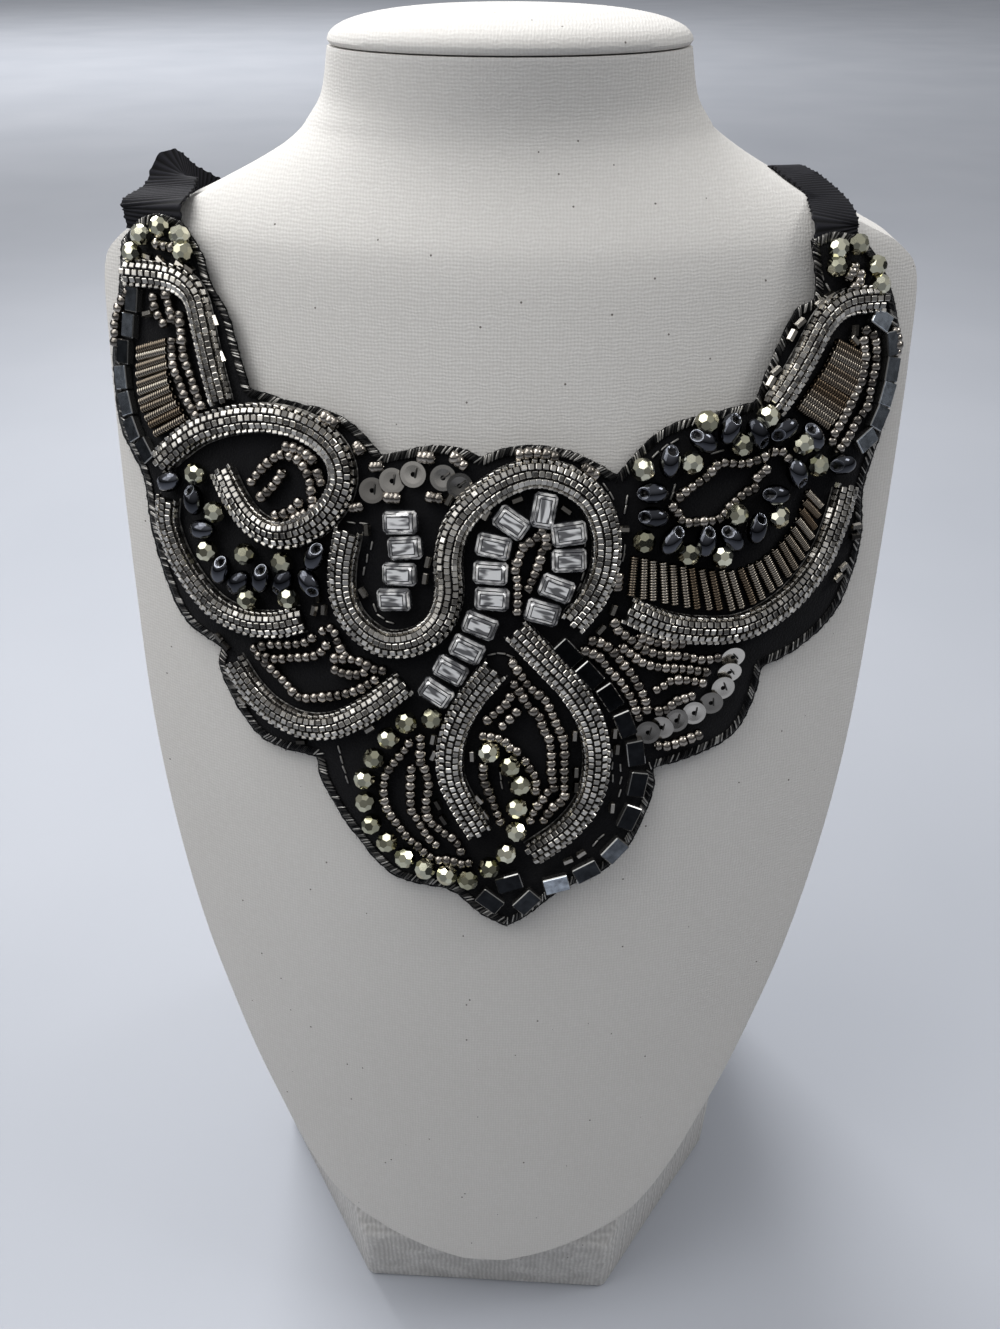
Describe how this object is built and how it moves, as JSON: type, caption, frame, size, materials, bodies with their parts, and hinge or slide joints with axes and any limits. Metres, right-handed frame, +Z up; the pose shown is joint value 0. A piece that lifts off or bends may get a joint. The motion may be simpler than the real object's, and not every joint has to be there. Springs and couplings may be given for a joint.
{
  "type": "bib necklace on neck bust",
  "caption": "Scalloped felt bib necklace with cut stones, beads, bugles and woven mesh cable, tied by ribbons on a plain neck bust.",
  "frame": {"origin": "the middle of the foot's flat underside", "axes": "+Z up, the chest faces -Y, +X to the right as seen from in front"},
  "size_m": [0.168, 0.147, 0.2919],
  "materials": {
    "bust_cover": "off-white woven cover, glued smooth",
    "felt": "black felt backing",
    "mesh_cable": "pale champagne-silver woven mesh",
    "cut_stone": "clear step-cut stone with a foil back",
    "facet_bead": "faceted, pale greenish silver",
    "tile": "dark mirrored glass tile",
    "sequin": "thin polished disc",
    "hematite": "polished, nearly black metallic",
    "bugle": "coiled wire, dark pewter bronze",
    "ribbon": "black ribbed ribbon",
    "clasp": "plain metal"
  },
  "bodies": {
    "root": {"bust_form": "bust_cover", "neck_cap": "bust_cover", "bust_foot": "bust_cover", "bib_felt": "felt", "mesh_cable_left_strap": "mesh_cable", "mesh_cable_left_loop": "mesh_cable", "mesh_cable_left_side": "mesh_cable", "mesh_cable_lower_left": "mesh_cable", "mesh_cable_centre": "mesh_cable", "mesh_cable_tip_left": "mesh_cable", "mesh_cable_tip_right": "mesh_cable", "mesh_cable_right_side": "mesh_cable", "mesh_cable_right_strap": "mesh_cable", "stone_1": "cut_stone", "stone_2": "cut_stone", "stone_3": "cut_stone", "stone_4": "cut_stone", "stone_5": "cut_stone", "stone_6": "cut_stone", "stone_7": "cut_stone", "stone_8": "cut_stone", "stone_9": "cut_stone", "stone_10": "cut_stone", "stone_11": "cut_stone", "stone_12": "cut_stone", "stone_13": "cut_stone", "stone_14": "cut_stone", "stone_15": "cut_stone", "stone_16": "cut_stone", "stone_17": "cut_stone", "beads_left_top": "facet_bead", "beads_right_top": "facet_bead", "beads_bottom": "facet_bead", "tiles_left_strap": "tile", "tiles_right_strap": "tile", "tiles_bottom": "tile", "sequins_left": "sequin", "sequins_centre": "sequin", "sequins_right": "sequin", "beads_left_side": "hematite", "ovals_left_inner": "hematite", "beads_right_top_row": "hematite", "beads_right_side": "hematite", "bugles_left_strap": "bugle", "bugles_right_fan": "bugle", "bugles_right_strap": "bugle", "ribbon_left": "ribbon", "ribbon_right": "ribbon", "ribbon_clasp": "clasp"}
  },
  "joints": []
}
